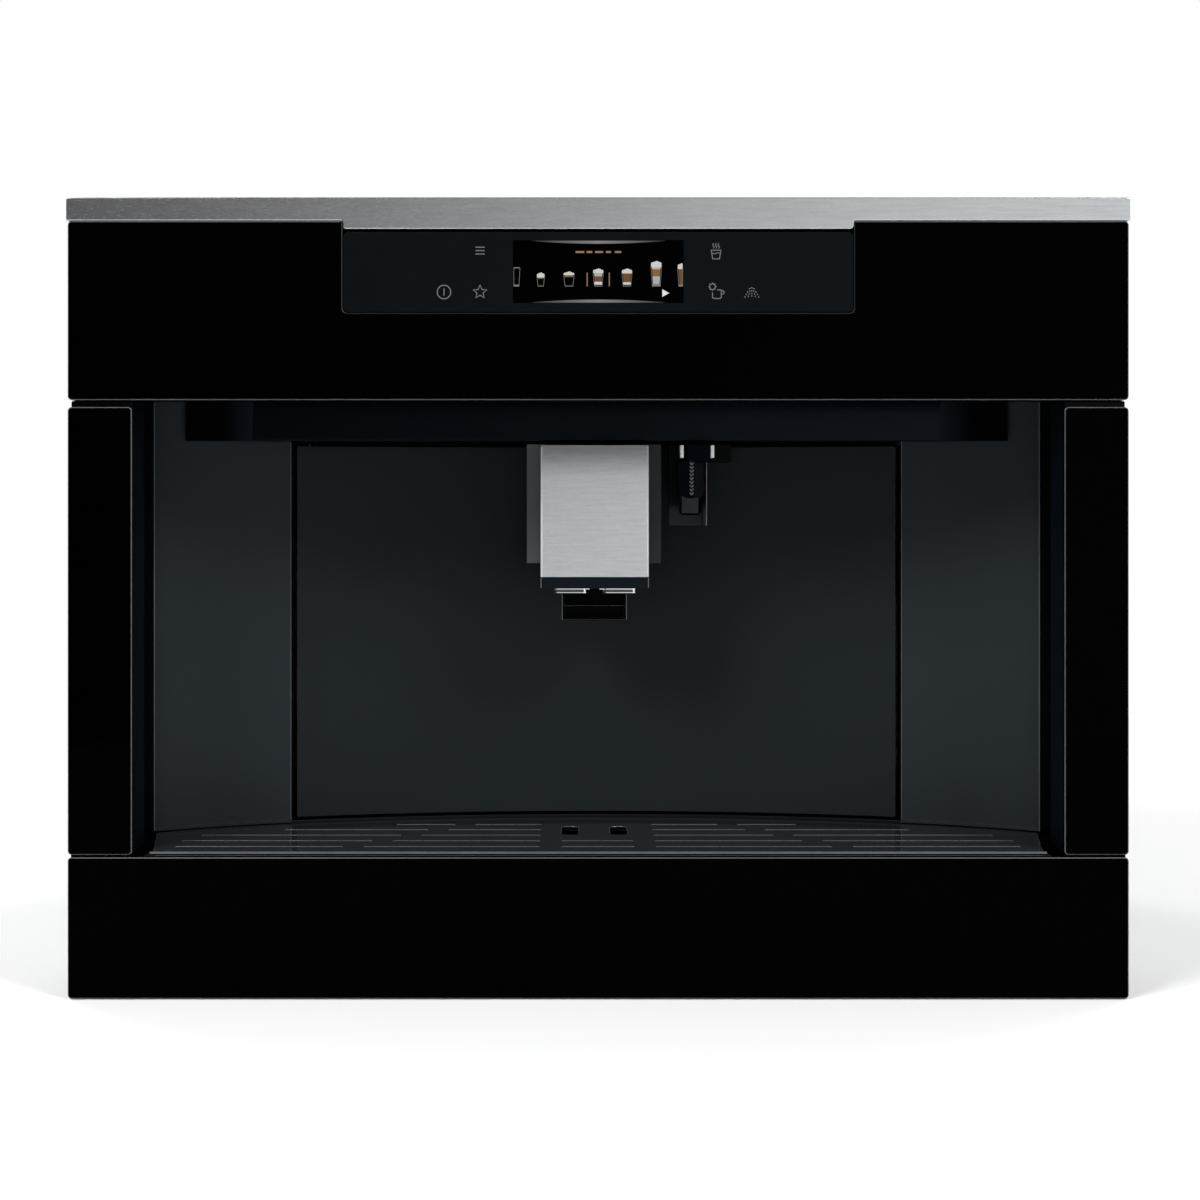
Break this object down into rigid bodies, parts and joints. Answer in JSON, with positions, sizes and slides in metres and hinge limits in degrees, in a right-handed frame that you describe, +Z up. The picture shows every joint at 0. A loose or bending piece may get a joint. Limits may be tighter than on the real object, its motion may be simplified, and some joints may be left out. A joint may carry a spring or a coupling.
{
  "type": "built-in coffee machine",
  "caption": "Built-in fully automatic coffee machine with a black glass front, concave cup space, height-adjustable spout, pull-out drip drawer and telescopic rails.",
  "frame": {"origin": "bottom centre of the whole machine's box", "axes": "+X to the user's right, +Z up, the front faces -Y"},
  "size_m": [0.5964, 0.361, 0.4491],
  "materials": {
    "black_glass": "polished, back painted black",
    "panel_gloss": "high gloss",
    "brushed_steel": "horizontal brush",
    "chrome": "polished",
    "charcoal": "satin",
    "black_plastic": "satin",
    "grey_plastic": "fine texture",
    "smoke_plastic": "clear, smoke tinted",
    "sheet_steel": "zinc plated sheet",
    "aluminium": "die cast",
    "brass": "machined",
    "board": "solder mask",
    "hose": "silicone",
    "lamp": "diffuser"
  },
  "bodies": {
    "niche_mount": {"niche_base": "sheet_steel", "cabinet_rail_left": "sheet_steel", "cabinet_rail_right": "sheet_steel"},
    "rail_left": {"middle_rail_left": "sheet_steel"},
    "rail_right": {"middle_rail_right": "sheet_steel"},
    "machine": {"machine_rail_left": "sheet_steel", "machine_rail_right": "sheet_steel", "front_frame": "black_plastic", "top_trim": "brushed_steel", "upper_glass_panel": "black_glass", "control_panel": "panel_gloss", "display_module": "black_glass", "control_board": "board", "column_glass_left": "black_glass", "column_glass_right": "black_glass", "handle_bar_left": "black_plastic", "handle_bar_right": "black_plastic", "header_housing": "black_plastic", "side_wall_left": "charcoal", "side_wall_right": "charcoal", "cup_light": "lamp", "body_casing": "sheet_steel", "rear_panel": "sheet_steel", "top_cover": "sheet_steel", "inner_chassis": "black_plastic", "bean_hopper": "smoke_plastic", "powder_funnel": "grey_plastic", "grinder_housing": "grey_plastic", "grinder_motor": "aluminium", "brew_frame": "grey_plastic", "brew_motor": "aluminium", "boiler": "aluminium", "pump": "brass", "power_board": "board", "mains_inlet": "black_plastic", "suction_hose": "hose", "brew_hose": "hose"},
    "drip_drawer": {"lower_glass_panel": "black_glass", "drip_tray": "black_plastic", "grounds_container": "grey_plastic"},
    "grille": {"cup_grille": "black_glass"},
    "door": {"service_door": "charcoal", "spout_guide": "black_plastic", "hot_water_bracket": "charcoal"},
    "coffee_spout": {"spout_body": "black_plastic", "spout_cover": "brushed_steel", "nozzle_left": "chrome", "nozzle_right": "chrome"},
    "water_spout": {"hot_water_spout": "grey_plastic"},
    "release_left": {"release_button_left": "chrome"},
    "release_right": {"release_button_right": "chrome"},
    "tank": {"water_tank": "smoke_plastic"},
    "tank_lid": {"water_tank_lid": "grey_plastic"},
    "hopper_lid": {"bean_lid": "grey_plastic"},
    "funnel_lid": {"powder_lid": "grey_plastic"},
    "grind_dial": {"grind_knob": "grey_plastic"},
    "burr": {"lower_burr": "sheet_steel"},
    "brew_carriage": {"brew_chamber": "grey_plastic"},
    "brew_screw": {"lead_screw": "sheet_steel"},
    "mains_switch": {"power_switch": "black_plastic"}
  },
  "joints": [
    {"name": "pull_out", "type": "slide", "parent": "niche_mount", "child": "machine", "axis": [0, -1, 0], "range_m": [0, 0.27]},
    {"name": "rail_left_slide", "type": "slide", "parent": "niche_mount", "child": "rail_left", "axis": [0, -1, 0], "range_m": [0, 0.135]},
    {"name": "rail_right_slide", "type": "slide", "parent": "niche_mount", "child": "rail_right", "axis": [0, -1, 0], "range_m": [0, 0.135]},
    {"name": "drawer_slide", "type": "slide", "parent": "machine", "child": "drip_drawer", "axis": [0, -1, 0], "range_m": [0, 0.24]},
    {"name": "grille_lift", "type": "slide", "parent": "drip_drawer", "child": "grille", "axis": [0, 0, 1], "range_m": [0, 0.003]},
    {"name": "door_hinge", "type": "hinge", "parent": "machine", "child": "door", "pos_m": [-0.176, -0.0705, 0.199], "axis": [0, 0, -1], "range_deg": [0, 95]},
    {"name": "spout_height", "type": "slide", "parent": "door", "child": "coffee_spout", "axis": [0, 0, -1], "range_m": [0, 0.055]},
    {"name": "water_spout_pull", "type": "slide", "parent": "door", "child": "water_spout", "axis": [0, -1, 0], "range_m": [0, 0.04]},
    {"name": "release_left_press", "type": "slide", "parent": "water_spout", "child": "release_left", "axis": [1, 0, 0], "range_m": [0, 0.0015], "stiffness_N_per_m": 500, "springref_m": -0.001},
    {"name": "release_right_press", "type": "slide", "parent": "water_spout", "child": "release_right", "axis": [-1, 0, 0], "range_m": [0, 0.0015], "stiffness_N_per_m": 500, "springref_m": -0.001},
    {"name": "tank_lift", "type": "slide", "parent": "machine", "child": "tank", "axis": [0, 0, 1], "range_m": [0, 0.16]},
    {"name": "tank_lid_hinge", "type": "hinge", "parent": "tank", "child": "tank_lid", "pos_m": [0.195, 0.1195, 0.442], "axis": [-1, 0, 0], "range_deg": [0, 100]},
    {"name": "hopper_lid_hinge", "type": "hinge", "parent": "machine", "child": "hopper_lid", "pos_m": [-0.181, 0.0825, 0.4468], "axis": [-1, 0, 0], "range_deg": [0, 100]},
    {"name": "funnel_lid_hinge", "type": "hinge", "parent": "machine", "child": "funnel_lid", "pos_m": [-0.05, 0.0325, 0.4468], "axis": [-1, 0, 0], "range_deg": [0, 100]},
    {"name": "grind_turn", "type": "hinge", "parent": "machine", "child": "grind_dial", "pos_m": [-0.181, 0.1195, 0.44], "axis": [0, 0, 1], "range_deg": [-75, 75]},
    {"name": "burr_spin", "type": "hinge", "parent": "machine", "child": "burr", "pos_m": [-0.181, 0.0085, 0.28], "axis": [0, 0, 1], "continuous": true},
    {"name": "brew_lift", "type": "slide", "parent": "machine", "child": "brew_carriage", "axis": [0, 0, 1], "range_m": [0, 0.075]},
    {"name": "screw_turn", "type": "hinge", "parent": "machine", "child": "brew_screw", "pos_m": [0, 0.0715, 0.2], "axis": [0, 0, 1], "range_deg": [0, 1090]},
    {"name": "switch_rock", "type": "hinge", "parent": "machine", "child": "mains_switch", "pos_m": [-0.175, 0.1727, 0.044], "axis": [1, 0, 0], "range_deg": [0, 14]}
  ],
  "couplings": [
    {"joint": "rail_left_slide", "follows": "pull_out", "ratio": 0.5},
    {"joint": "rail_right_slide", "follows": "pull_out", "ratio": 0.5},
    {"joint": "screw_turn", "follows": "brew_lift", "rad_per_m": 251.33}
  ]
}
